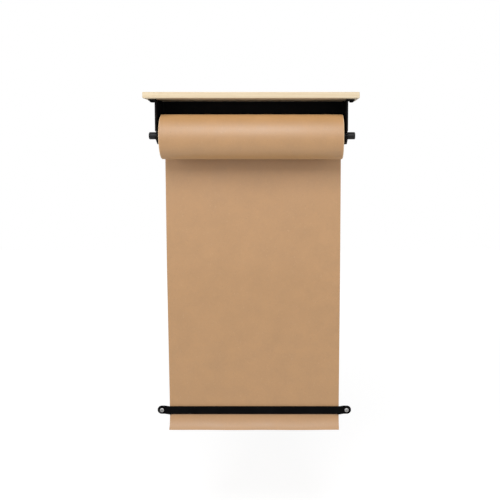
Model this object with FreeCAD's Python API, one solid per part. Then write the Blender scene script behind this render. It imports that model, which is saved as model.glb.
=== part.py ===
# Wall-mounted gift wrap cutter. A bent steel bracket under a wooden shelf carries a roll of
# kraft paper on a lift-out rod, and a flat bar below it holds the sheet and tears it off.
# Millimetres. +X right, +Z up, the wall is the plane y = 0 and the object stands at y < 0.
# The origin is the centre of the four wall holes in the bracket.
import FreeCAD
import Part
import math
import os

# Clearances and overruns
seat_gap = 0.3
slot_gap = 0.2
hang_gap = 0.1
press_gap = 0.05
screw_gap = 0.2
overrun = 5.0
shortest_run = 0.001

# Paper roll and its cardboard core
paper_width = 300.0
roll_radius = 36.8
roll_edge_chamfer = 0.4
core_play = 4.0
core_wall = 2.0

# Rod and the turned caps on its ends
rod_diameter = 8.0
rod_chamfer = 0.5
cap_wall = 2.0
cap_length = 13.0
cap_bore_depth = 8.0
cap_chamfer = 1.0
cap_gap = 0.5

# Bracket, bent from one steel sheet around the roll
steel_gauge = 2.5
inner_bend_radius = 2.0
roll_side_gap = 4.5
roll_back_gap = 10.7
roll_top_gap = 22.2
arm_ahead_of_rod = 23.0
arm_below_rod = 14.0
arm_front_radius = 3.0
lip_setback = 23.0
lip_rise = 9.5
lip_tip_radius = 1.0
lip_heel_radius = 10.0
slot_tilt_degrees = 8.0
slot_mouth_radius = 1.2
ear_length = 22.0
ear_width = 11.0
ear_setback = 5.0
ear_relief_width = 1.5
ear_relief_depth = 1.0
wall_hole_diameter = 5.0
wall_hole_inset = 57.0
wall_hole_spacing_z = 32.0
wall_hole_rise = 14.0

# Shelf board and the screws that hold it from below
shelf_overhang = 17.0
shelf_nose = 17.0
shelf_thickness = 9.8
shelf_corner_radius = 2.0
shelf_edge_chamfer = 0.8
shelf_screw_head_diameter = 6.5
shelf_screw_head_height = 2.2
shelf_screw_diameter = 3.2
shelf_screw_cover = 2.8
shelf_screw_edge_inset = 4.5
shelf_screw_end_inset = 5.5

# Tear bar and the two screws that fix it to the wall
bar_height = 14.5
bar_gauge = 2.5
bar_below_rod = 483.5
bar_joggle = 3.5
bar_side_gap = 1.5
bar_joggle_run = 7.0
bar_tab_length = 13.5
bar_hole_inset = 8.0
bar_bend_radius = 1.0
bar_bevel_height = 2.2
bar_bevel_land = 0.7
bar_bevel_end_gap = 4.0
bar_screw_head_diameter = 7.4
bar_screw_head_height = 2.6
bar_screw_diameter = 4.0
bar_screw_length = 28.0

# Hanging sheet
sheet_gauge = 0.4
sheet_wrap_degrees = 28.0
sheet_knee_share = 0.49
sheet_knee_radius = 900.0
sheet_entry_rise = 10.0
sheet_entry_radius = 180.0
tail_radius = 34.0
tail_turn_degrees = 48.0

# Proportions of a pan head screw
head_crown_share = 0.7
head_rim_share = 0.4
recess_length_share = 0.56
recess_width_share = 0.13
recess_depth_share = 0.55
screw_tip_share = 0.5
screw_neck_share = 0.85

# Places worked out from the sizes above
slot_tilt = math.radians(slot_tilt_degrees)
sheet_wrap = math.radians(sheet_wrap_degrees)
tail_turn = math.radians(tail_turn_degrees)
centre_bend_radius = inner_bend_radius + steel_gauge / 2
outer_bend_radius = inner_bend_radius + steel_gauge
rod_radius = rod_diameter / 2
cap_radius = rod_radius + cap_wall
core_bore_radius = rod_radius + core_play / 2
core_radius = core_bore_radius + core_wall
inner_half_width = paper_width / 2 + roll_side_gap
bracket_half_width = inner_half_width + steel_gauge
wall_hole_spacing_x = 2 * (bracket_half_width - wall_hole_inset)
rod_y = -(steel_gauge + roll_back_gap + roll_radius)
rod_z = -wall_hole_rise
roll_z = rod_z - (core_bore_radius - rod_radius - hang_gap)
arm_front_y = rod_y - arm_ahead_of_rod
arm_bottom_z = rod_z - arm_below_rod
shelf_z = rod_z + roll_radius + roll_top_gap
shelf_half_width = bracket_half_width + shelf_overhang
shelf_front_y = arm_front_y - shelf_nose
ear_front_y = arm_front_y + ear_setback
ear_rear_y = ear_front_y + ear_length
ear_root_z = shelf_z - outer_bend_radius - ear_relief_depth
ear_edge_x = bracket_half_width + ear_width
cap_face_x = bracket_half_width + cap_gap
shelf_screw_bite = shelf_thickness - shelf_screw_cover
shelf_screw_hole_radius = shelf_screw_diameter / 2 + screw_gap
shelf_screw_x = ear_edge_x - shelf_screw_edge_inset
shelf_screw_rows = {
    "front": ear_front_y + shelf_screw_end_inset,
    "rear": ear_rear_y - shelf_screw_end_inset,
}
bar_middle_x = paper_width / 2 + bar_side_gap
bar_tab_x = bar_middle_x + bar_joggle_run
bar_end_x = bar_tab_x + bar_tab_length
bar_hole_x = bar_end_x - bar_hole_inset
bar_z = rod_z - bar_below_rod
bar_front_y = -(bar_joggle + bar_gauge)
along_x = FreeCAD.Vector(1, 0, 0)
along_y = FreeCAD.Vector(0, 1, 0)
along_z = FreeCAD.Vector(0, 0, 1)


def at(x, y, z):
    return FreeCAD.Vector(x, y, z)


def unit(vector):
    return FreeCAD.Vector(vector).normalize()


def rounded_edges(corners, radii, closed):
    """Straight runs through the corners, each corner turned by a tangent arc of its radius."""
    count = len(corners)
    arcs = []
    for i, (corner, radius) in enumerate(zip(corners, radii)):
        if radius == 0:
            arcs.append((corner, None, corner))
            continue
        back = unit(corners[i - 1] - corner)
        ahead = unit(corners[(i + 1) % count] - corner)
        half = back.getAngle(ahead) / 2
        reach = radius / math.tan(half)
        inward = unit(back + ahead)
        middle = corner + inward * (radius / math.sin(half) - radius)
        arcs.append((corner + back * reach, middle, corner + ahead * reach))
    edges = []
    for i, (entry, middle, leave) in enumerate(arcs):
        if middle is not None:
            edges.append(Part.Arc(entry, middle, leave).toShape())
        if i + 1 == count and not closed:
            break
        following = arcs[(i + 1) % count][0]
        if leave.distanceToPoint(following) > shortest_run:
            edges.append(Part.LineSegment(leave, following).toShape())
    return edges, arcs[0][0], arcs[-1][2]


def outline_face(corners, radii):
    """Flat face inside a closed outline with rounded corners."""
    edges, start, end = rounded_edges(corners, radii, True)
    return Part.Face(Part.Wire(Part.__sortEdges__(edges)))


def side_of_path(path, radii, distance, normal):
    """Edges of a path moved sideways, with the bends kept concentric."""
    corners = []
    side_radii = []
    for i, (corner, radius) in enumerate(zip(path, radii)):
        coming = unit(path[max(i, 1)] - path[max(i, 1) - 1])
        last_start = min(i, len(path) - 2)
        going = unit(path[last_start + 1] - path[last_start])
        coming_side = normal.cross(coming)
        going_side = normal.cross(going)
        miter = (coming_side + going_side) * (distance / (1 + coming_side.dot(going_side)))
        corners.append(corner + miter)
        turn = math.copysign(1, coming.cross(going).dot(normal))
        side_radii.append(radius - turn * distance if radius > 0 else 0)
    return rounded_edges(corners, side_radii, False)


def strip_face(path, radii, thickness, normal):
    """Section of a strip that follows a path and keeps one thickness through its bends."""
    left, left_start, left_end = side_of_path(path, radii, thickness / 2, normal)
    right, right_start, right_end = side_of_path(path, radii, -thickness / 2, normal)
    ends = [
        Part.LineSegment(left_start, right_start).toShape(),
        Part.LineSegment(left_end, right_end).toShape(),
    ]
    return Part.Face(Part.Wire(Part.__sortEdges__(left + right + ends)))


def both_sides(shape):
    """A shape on the right with its mirror image on the left."""
    return [shape, shape.mirror(FreeCAD.Vector(), along_x)]


def cross_cut(shape, size, depth_low, depth_high):
    """Cut a cross recess of two bars, given its length and width, between two heights."""
    length, width = size
    for size_x, size_y in ((length, width), (width, length)):
        corner = at(-size_x / 2, -size_y / 2, depth_low)
        shape = shape.cut(Part.makeBox(size_x, size_y, depth_high - depth_low, corner))
    return shape


def pan_head_screw(head_diameter, head_height, diameter, neck_length, length):
    """Screw along +Z whose head lies under z = 0, with a cross recess and a thinner neck."""
    head_radius = head_diameter / 2
    radius = diameter / 2
    neck_radius = radius * screw_neck_share
    profile = [
        at(0, 0, -head_height),
        at(head_radius * head_crown_share, 0, -head_height),
        at(head_radius, 0, -head_height * head_rim_share),
        at(head_radius, 0, 0),
        at(neck_radius, 0, 0),
        at(neck_radius, 0, neck_length),
        at(radius, 0, neck_length),
        at(radius, 0, length - diameter * screw_tip_share),
        at(0, 0, length),
    ]
    screw = outline_face(profile, [0] * len(profile)).revolve(FreeCAD.Vector(), along_z, 360)
    recess = (head_diameter * recess_length_share, head_diameter * recess_width_share)
    floor_z = -head_height * (1 - recess_depth_share)
    return cross_cut(screw, recess, -head_height - overrun, floor_z)


def arm_outline():
    """Side view of the bracket: plate height, arm, hook slot and tapered lip."""
    forward = at(0, -math.cos(slot_tilt), math.sin(slot_tilt))
    upward = at(0, math.sin(slot_tilt), math.cos(slot_tilt))
    seat = at(0, rod_y, rod_z)
    half = rod_radius + slot_gap
    back_low = seat - forward * half - upward * half
    back_high = seat - forward * half + upward * half
    low_run = (back_low.y - arm_front_y) / math.cos(slot_tilt)
    high_run = (back_high.y - arm_front_y) / math.cos(slot_tilt)
    mouth_low = back_low + forward * low_run
    mouth_high = back_high + forward * high_run
    corners = [
        at(0, 0, arm_bottom_z), at(0, 0, shelf_z), at(0, arm_front_y, shelf_z),
        mouth_high, back_high, back_low, mouth_low,
        at(0, arm_front_y, arm_bottom_z + lip_rise), at(0, arm_front_y + lip_setback, arm_bottom_z),
    ]
    radii = [
        0, 0, arm_front_radius,
        slot_mouth_radius, half, half, slot_mouth_radius,
        lip_tip_radius, lip_heel_radius,
    ]
    return outline_face(corners, radii)


def shelf_screw_places():
    """Name and place of each shelf screw."""
    places = {}
    for row_name, y in shelf_screw_rows.items():
        places["left_" + row_name] = (-shelf_screw_x, y)
        places["right_" + row_name] = (shelf_screw_x, y)
    return places


def shelf_ear():
    """Ear bent outwards from the top of the right arm, with the holes for its shelf screws."""
    arm_x = bracket_half_width - steel_gauge / 2
    ear_z = shelf_z - steel_gauge / 2
    path = [
        at(arm_x, ear_rear_y, ear_root_z),
        at(arm_x, ear_rear_y, ear_z),
        at(ear_edge_x, ear_rear_y, ear_z),
    ]
    section = strip_face(path, [0, centre_bend_radius, 0], steel_gauge, along_y)
    ear = section.extrude(at(0, ear_front_y - ear_rear_y, 0))
    for y in shelf_screw_rows.values():
        hole_start = at(shelf_screw_x, y, shelf_z - steel_gauge - overrun)
        hole = Part.makeCylinder(shelf_screw_hole_radius, steel_gauge + 2 * overrun, hole_start)
        ear = ear.cut(hole)
    return ear


def ear_notch():
    """Space cut from the top of the right arm, where the ear and its two reliefs are."""
    corner = at(inner_half_width - overrun, ear_front_y - ear_relief_width, ear_root_z)
    length = ear_length + 2 * ear_relief_width
    return Part.makeBox(steel_gauge + 2 * overrun, length, shelf_z - ear_root_z + overrun, corner)


def wall_bracket():
    """Back plate and arms from one strip, trimmed to the arm outline, with an ear on each arm."""
    arm_x = bracket_half_width - steel_gauge / 2
    plate_y = -steel_gauge / 2
    path = [
        at(-arm_x, arm_front_y, arm_bottom_z), at(-arm_x, plate_y, arm_bottom_z),
        at(arm_x, plate_y, arm_bottom_z), at(arm_x, arm_front_y, arm_bottom_z),
    ]
    plan = strip_face(path, [0, centre_bend_radius, centre_bend_radius, 0], steel_gauge, along_z)
    bracket = plan.extrude(at(0, 0, shelf_z - arm_bottom_z))
    trim = arm_outline()
    trim.translate(at(-bracket_half_width - overrun, 0, 0))
    bracket = bracket.common(trim.extrude(at(2 * (bracket_half_width + overrun), 0, 0)))
    for x in (-wall_hole_spacing_x / 2, wall_hole_spacing_x / 2):
        for z in (-wall_hole_spacing_z / 2, wall_hole_spacing_z / 2):
            hole_start = at(x, -steel_gauge - overrun, z)
            hole_length = steel_gauge + 2 * overrun
            bracket = bracket.cut(Part.makeCylinder(wall_hole_diameter / 2, hole_length, hole_start, along_y))
    for notch, ear in zip(both_sides(ear_notch()), both_sides(shelf_ear())):
        bracket = bracket.cut(notch).fuse(ear)
    return bracket.removeSplitter()


def shelf_board():
    """Solid board with chamfered edges and pilot holes for its screws."""
    corner = at(-shelf_half_width, shelf_front_y, shelf_z)
    board = Part.makeBox(2 * shelf_half_width, -shelf_front_y, shelf_thickness, corner)
    upright = [edge for edge in board.Edges if edge.BoundBox.ZLength > shelf_thickness / 2]
    board = board.makeFillet(shelf_corner_radius, upright)
    around = [edge for edge in board.Edges if edge.BoundBox.ZLength < shelf_thickness / 2]
    board = board.makeChamfer(shelf_edge_chamfer, around)
    for x, y in shelf_screw_places().values():
        hole_length = shelf_screw_bite + overrun
        hole_radius = shelf_screw_diameter / 2 + press_gap
        hole = Part.makeCylinder(hole_radius, hole_length, at(x, y, shelf_z - overrun))
        board = board.cut(hole)
    return board


def shelf_screw(x, y):
    """Screw driven up through an ear into the board."""
    length = steel_gauge + shelf_screw_bite
    head = (shelf_screw_head_diameter, shelf_screw_head_height)
    screw = pan_head_screw(*head, shelf_screw_diameter, steel_gauge, length)
    screw.translate(at(x, y, shelf_z - steel_gauge))
    return screw


def end_edges(shape, x):
    """Edges that lie in the end face at x."""
    return [
        edge for edge in shape.Edges
        if abs(edge.BoundBox.XMin - x) < shortest_run and abs(edge.BoundBox.XMax - x) < shortest_run
    ]


def roll_rod():
    """Plain round rod that rests in the slots of both arms."""
    half_length = cap_face_x + cap_bore_depth
    rod = Part.makeCylinder(rod_radius, 2 * half_length, at(-half_length, rod_y, rod_z), along_x)
    return rod.makeChamfer(rod_chamfer, end_edges(rod, -half_length) + end_edges(rod, half_length))


def rod_cap():
    """Turned cap over the right end of the rod, chamfered at its outer end."""
    start = at(cap_face_x, rod_y, rod_z)
    cap = Part.makeCylinder(cap_radius, cap_length, start, along_x)
    cap = cap.makeChamfer(cap_chamfer, end_edges(cap, cap_face_x + cap_length))
    bore_radius = rod_radius + press_gap
    bore_length = cap_bore_depth + overrun
    return cap.cut(Part.makeCylinder(bore_radius, bore_length, start - along_x * overrun, along_x))


def ring_tube(outer_radius, inner_radius):
    """Tube as wide as the paper, on the axis of the roll."""
    start = at(-paper_width / 2, rod_y, roll_z)
    outer = Part.makeCylinder(outer_radius, paper_width, start, along_x)
    bore_start = start - along_x * overrun
    return outer.cut(Part.makeCylinder(inner_radius, paper_width + 2 * overrun, bore_start, along_x))


def paper_roll():
    """The wound paper, with a slightly crushed edge at each end."""
    roll = ring_tube(roll_radius, core_radius + press_gap)
    rims = [
        edge
        for x in (-paper_width / 2, paper_width / 2)
        for edge in end_edges(roll, x)
        if edge.BoundBox.ZLength > roll_radius
    ]
    return roll.makeChamfer(roll_edge_chamfer, rims)


def tear_bar():
    """Flat bar with round-ended tabs on the wall and a raised middle that clears the paper."""
    raised_y = bar_front_y + bar_gauge / 2
    tab_y = -bar_gauge / 2
    half = bar_height / 2
    low_z = bar_z - half
    path = [
        at(-bar_end_x, tab_y, low_z), at(-bar_tab_x, tab_y, low_z),
        at(-bar_middle_x, raised_y, low_z), at(bar_middle_x, raised_y, low_z),
        at(bar_tab_x, tab_y, low_z), at(bar_end_x, tab_y, low_z),
    ]
    bend = bar_bend_radius + bar_gauge / 2
    plan = strip_face(path, [0, bend, bend, bend, bend, 0], bar_gauge, along_z)
    bar = plan.extrude(at(0, 0, bar_height))
    start_y = bar_front_y - overrun
    silhouette = outline_face(
        [
            at(-bar_end_x, start_y, bar_z - half), at(bar_end_x, start_y, bar_z - half),
            at(bar_end_x, start_y, bar_z + half), at(-bar_end_x, start_y, bar_z + half),
        ],
        [half, half, half, half],
    )
    bar = bar.common(silhouette.extrude(at(0, overrun - start_y, 0)))
    for x in (-bar_hole_x, bar_hole_x):
        hole_start = at(x, -bar_gauge - overrun, bar_z)
        hole_radius = bar_screw_diameter / 2 + screw_gap
        hole = Part.makeCylinder(hole_radius, bar_gauge + 2 * overrun, hole_start, along_y)
        bar = bar.cut(hole)
    return bar.cut(tearing_bevel(bar_middle_x - bar_bevel_end_gap))


def tearing_bevel(half_length):
    """Wedge that thins the lower front edge of the bar to the edge that tears the paper."""
    land_y = -bar_joggle - bar_bevel_land
    low_z = bar_z - bar_height / 2
    slope = bar_bevel_height / (land_y - bar_front_y)
    corners = [
        at(-half_length, bar_front_y - overrun, low_z + bar_bevel_height + slope * overrun),
        at(-half_length, land_y, low_z),
        at(-half_length, land_y, low_z - overrun),
        at(-half_length, bar_front_y - overrun, low_z - overrun),
    ]
    return outline_face(corners, [0] * len(corners)).extrude(at(2 * half_length, 0, 0))


def bar_screw(x):
    """Screw through a tab of the bar, whose shank stands out behind the wall plane."""
    head = (bar_screw_head_diameter, bar_screw_head_height)
    screw = pan_head_screw(*head, bar_screw_diameter, bar_gauge, bar_screw_length)
    screw.rotate(FreeCAD.Vector(), along_x, -90)
    screw.translate(at(x, -bar_gauge, bar_z))
    return screw


def paper_sheet():
    """Sheet that leaves the back of the roll, hangs to the bar, passes behind it and curls out."""
    wrap_radius = roll_radius + seat_gap + sheet_gauge / 2
    hang_y = rod_y + wrap_radius
    behind_bar_y = -(bar_joggle - seat_gap - sheet_gauge / 2)
    bar_top_z = bar_z + bar_height / 2
    bar_bottom_z = bar_z - bar_height / 2
    tail_corner_z = bar_bottom_z - tail_radius * math.tan(tail_turn / 2)
    tail_y = behind_bar_y - tail_radius * (1 - math.cos(tail_turn))
    tail_z = bar_bottom_z - tail_radius * math.sin(tail_turn)
    x = -paper_width / 2
    path = [
        at(x, rod_y + wrap_radius * math.cos(sheet_wrap), roll_z + wrap_radius * math.sin(sheet_wrap)),
        at(x, hang_y, roll_z + wrap_radius * math.tan(sheet_wrap / 2)),
        at(x, hang_y, rod_z - bar_below_rod * sheet_knee_share),
        at(x, behind_bar_y, bar_top_z + sheet_entry_rise),
        at(x, behind_bar_y, tail_corner_z),
        at(x, tail_y, tail_z),
    ]
    radii = [0, wrap_radius, sheet_knee_radius, sheet_entry_radius, tail_radius, 0]
    return strip_face(path, radii, sheet_gauge, along_x).extrude(at(paper_width, 0, 0))


def build():
    """Every piece of the object under the name of its node."""
    pieces = {
        "wall_bracket": wall_bracket(),
        "shelf_board": shelf_board(),
        "tear_bar": tear_bar(),
        "bar_screw_left": bar_screw(-bar_hole_x),
        "bar_screw_right": bar_screw(bar_hole_x),
        "roll_rod": roll_rod(),
        "core_tube": ring_tube(core_radius, core_bore_radius),
        "paper_roll": paper_roll(),
        "paper_sheet": paper_sheet(),
    }
    pieces["rod_cap_right"], pieces["rod_cap_left"] = both_sides(rod_cap())
    for name, (x, y) in shelf_screw_places().items():
        pieces["shelf_screw_" + name] = shelf_screw(x, y)
    return pieces


os.makedirs("parts", exist_ok=True)
for name, shape in build().items():
    box = shape.BoundBox
    print(name, "solids", len(shape.Solids), "valid", shape.isValid(), "volume", round(shape.Volume, 1),
          "x", round(box.XMin, 2), round(box.XMax, 2), "y", round(box.YMin, 2), round(box.YMax, 2),
          "z", round(box.ZMin, 2), round(box.ZMax, 2))
    shape.exportStep(os.path.join("parts", name + ".step"))
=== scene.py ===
"""Looks of a wall-mounted gift wrap paper cutter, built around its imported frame.

A black steel bracket under a pale wooden shelf carries a roll of kraft paper on a lift-out
rod. The sheet leaves the back of the roll and hangs down behind a flat black tear bar.
Lengths are metres, with +X to the right, +Y into the wall and +Z up.
"""

import logging
import math
import random
from collections.abc import Callable, Iterator
from contextlib import contextmanager
from dataclasses import dataclass
from enum import Enum

import bmesh
import bpy
from mathutils import Matrix, Vector


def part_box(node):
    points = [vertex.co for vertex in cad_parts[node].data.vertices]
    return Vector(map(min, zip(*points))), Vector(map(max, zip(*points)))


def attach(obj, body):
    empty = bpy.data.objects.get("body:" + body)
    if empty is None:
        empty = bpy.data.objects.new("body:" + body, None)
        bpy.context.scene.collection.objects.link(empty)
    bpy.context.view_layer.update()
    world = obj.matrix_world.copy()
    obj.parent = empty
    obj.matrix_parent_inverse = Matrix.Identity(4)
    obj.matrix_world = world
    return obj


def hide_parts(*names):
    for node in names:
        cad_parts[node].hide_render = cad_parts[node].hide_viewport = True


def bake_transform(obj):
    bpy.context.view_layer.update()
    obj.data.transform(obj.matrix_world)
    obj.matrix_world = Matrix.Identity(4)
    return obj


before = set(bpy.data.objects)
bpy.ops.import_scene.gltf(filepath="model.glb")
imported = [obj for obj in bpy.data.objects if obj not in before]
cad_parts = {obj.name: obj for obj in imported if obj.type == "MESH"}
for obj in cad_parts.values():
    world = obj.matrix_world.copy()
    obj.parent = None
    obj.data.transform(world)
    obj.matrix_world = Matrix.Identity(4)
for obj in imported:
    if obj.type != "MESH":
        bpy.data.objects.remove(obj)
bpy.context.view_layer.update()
log = logging.getLogger("paper_cutter")
MM = 0.001
FACING = 0.9  # least share of a normal along an axis for its face to look that way
ROUND_NEAR = 1e-5  # how close two places on a round form count as one

Piece = bpy.types.Object
Socket = bpy.types.NodeSocket
Node = bpy.types.Node
NodeOutputs = bpy.types.NodeOutputs
NodeTree = bpy.types.NodeTree
Material = bpy.types.Material
Colour = tuple[float, float, float, float]
Triple = tuple[float, float, float]


class Body(Enum):
    """The frame's moving and fixed bodies."""

    WALL = "wall_frame"
    ROD = "rod"
    ROLL = "roll"
    SHEET = "sheet"


class Slot(Enum):
    """Names of the record's material slots; nothing in this script uses them."""

    BRACKET = "bracket_coating"
    BAR = "bar_coating"
    ROD = "rod_coating"
    SHELF_SCREW = "shelf_screw_coating"
    ZINC = "zinc_steel"
    WOOD = "shelf_wood"
    KRAFT = "kraft_paper"


class Side(Enum):
    """Left or right end of the object, with its sign along X."""

    LEFT = -1
    RIGHT = 1


def same(first: float, second: float, within: float = 1e-6) -> bool:
    """Whether two lengths agree."""
    return abs(first - second) < within


class Bench:
    """Adds, edits and finishes meshes with Blender's own operators."""

    weld = 2e-6
    flat_degrees = 0.4
    sharp_degrees = 38
    bevel_segments = 2
    face_weight = 80

    @staticmethod
    def clear() -> None:
        """Leave edit mode and deselect everything."""
        if bpy.context.mode != "OBJECT":
            bpy.ops.object.mode_set(mode="OBJECT")
        bpy.ops.object.select_all(action="DESELECT")

    @staticmethod
    def only(piece: Piece) -> None:
        """Select one piece alone and make it active.

        Args:
            piece: The piece.
        """
        Bench.clear()
        piece.select_set(True)
        bpy.context.view_layer.objects.active = piece

    @staticmethod
    def named(name: str) -> Piece:
        """Name the piece just added and set its place and size into its mesh.

        Args:
            name: Name of the piece.

        Returns:
            The active object, at the origin, unturned and unscaled.
        """
        piece = bpy.context.object
        piece.name = name
        piece.data.name = name
        Bench.only(piece)
        bpy.ops.object.transform_apply(location=True, rotation=True, scale=True)
        return piece

    @staticmethod
    @contextmanager
    def editing(piece: Piece) -> Iterator[None]:
        """Edit mode on one piece, with nothing selected at the start.

        Args:
            piece: The piece to edit.

        Yields:
            Nothing.
        """
        Bench.only(piece)
        bpy.ops.object.mode_set(mode="EDIT")
        bpy.ops.mesh.select_all(action="DESELECT")
        yield
        bpy.ops.object.mode_set(mode="OBJECT")

    @staticmethod
    def pick_edges(piece: Piece, test: Callable[[Vector, Vector], bool]) -> None:
        """Select the edges whose two ends pass a test.

        Args:
            piece: The piece in edit mode.
            test: Says whether an edge with these ends is wanted.
        """
        bpy.ops.mesh.select_mode(type="EDGE")
        bpy.ops.mesh.select_all(action="DESELECT")
        mesh = bmesh.from_edit_mesh(piece.data)
        for edge in mesh.edges:
            edge.select_set(test(edge.verts[0].co, edge.verts[1].co))
        bmesh.update_edit_mesh(piece.data)

    @staticmethod
    def pick_faces(piece: Piece, test: Callable[[Vector, Vector], bool]) -> None:
        """Select the faces whose centre and normal pass a test.

        Args:
            piece: The piece in edit mode.
            test: Says whether a face with this centre and normal is wanted.
        """
        bpy.ops.mesh.select_mode(type="FACE")
        bpy.ops.mesh.select_all(action="DESELECT")
        mesh = bmesh.from_edit_mesh(piece.data)
        for face in mesh.faces:
            face.select_set(test(face.calc_center_median(), face.normal))
        bmesh.update_edit_mesh(piece.data)

    @staticmethod
    def apply(piece: Piece, kind: str, **settings: object) -> None:
        """Add a modifier and apply it at once.

        Args:
            piece: The piece that gets it.
            kind: Blender's name for the kind of modifier.
            **settings: The modifier's own settings.
        """
        Bench.only(piece)
        modifier = piece.modifiers.new(kind.title(), kind)
        for key, value in settings.items():
            setattr(modifier, key, value)
        bpy.ops.object.modifier_apply(modifier=modifier.name)

    @staticmethod
    def smooth(piece: Piece, degrees: float = 35.0) -> None:
        """Smooth shading, with a hard line where faces meet at more than the angle."""
        Bench.only(piece)
        bpy.ops.object.shade_smooth_by_angle(angle=math.radians(degrees))

    @staticmethod
    def copied(pattern: Piece, name: str, place: Matrix) -> Piece:
        """Copy a piece, mesh and all, and set the copy's place into its mesh.

        Args:
            pattern: The piece to copy.
            name: Name of the copy.
            place: Where the copy goes.

        Returns:
            The copy.
        """
        piece = pattern.copy()
        piece.data = pattern.data.copy()
        piece.name = name
        piece.data.name = name
        piece.data.transform(place)
        bpy.context.scene.collection.objects.link(piece)
        return piece

    @staticmethod
    def mark_edges(piece: Piece) -> None:
        """Turn the bevels' material mark into the face attribute that edge wear reads.

        Args:
            piece: The bevelled piece.
        """
        marks = [float(face.material_index > 0) for face in piece.data.polygons]
        attribute = piece.data.attributes.new("edge", "FLOAT", "FACE")
        attribute.data.foreach_set("value", marks)
        piece.data.polygons.foreach_set("material_index", [0] * len(marks))
        piece.data.materials.clear()

    @staticmethod
    def softened(node: str, name: str, width: float) -> Piece:
        """Copy a node's solid, merge it and round its sharp edges.

        Args:
            node: The CAD node that the new piece stands for.
            name: Name of the new piece.
            width: Width of the rounding.

        Returns:
            The new piece, which replaces the node.
        """
        piece = Bench.copied(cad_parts[node], name, Matrix.Identity(4))
        for key in list(piece.keys()):
            del piece[key]
        piece.parent = None
        piece.matrix_world = Matrix.Identity(4)
        Bench.only(piece)
        bpy.ops.mesh.customdata_custom_splitnormals_clear()
        with Bench.editing(piece):
            bpy.ops.mesh.select_all(action="SELECT")
            bpy.ops.mesh.remove_doubles(threshold=Bench.weld)
            bpy.ops.mesh.dissolve_limited(angle_limit=math.radians(Bench.flat_degrees))
        piece.data.materials.clear()
        for _ in ("faces", "bevels"):
            piece.data.materials.append(None)
        Bench.apply(
            piece, "BEVEL", width=width, segments=Bench.bevel_segments, limit_method="ANGLE",
            angle_limit=math.radians(Bench.sharp_degrees), material=1, use_clamp_overlap=True)
        Bench.mark_edges(piece)
        Bench.smooth(piece)
        Bench.apply(
            piece, "WEIGHTED_NORMAL", mode="FACE_AREA", weight=Bench.face_weight, keep_sharp=True)
        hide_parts(node)
        return piece


def settle(piece: Piece, body: Body, material: Material) -> None:
    """Dress a new piece and let it ride on its body.

    Args:
        piece: The finished piece.
        body: The body that carries it.
        material: Its material.
    """
    dress(piece, material)
    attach(piece, body.value)
    log.info("%s: %d faces on %s", piece.name, len(piece.data.polygons), body.value)


def dress(piece: Piece, material: Material) -> None:
    """Put one material over a whole piece.

    Args:
        piece: The piece, or a CAD node.
        material: Its material.
    """
    if piece.data.materials:
        for index in range(len(piece.data.materials)):
            piece.material_slots[index].material = material
    else:
        piece.data.materials.append(material)


def dress_node(node: str, material: Material) -> None:
    """Put a material on a CAD node that stays as it is."""
    dress(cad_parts[node], material)
    log.info("%s: kept, %s", node, material.name)


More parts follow.
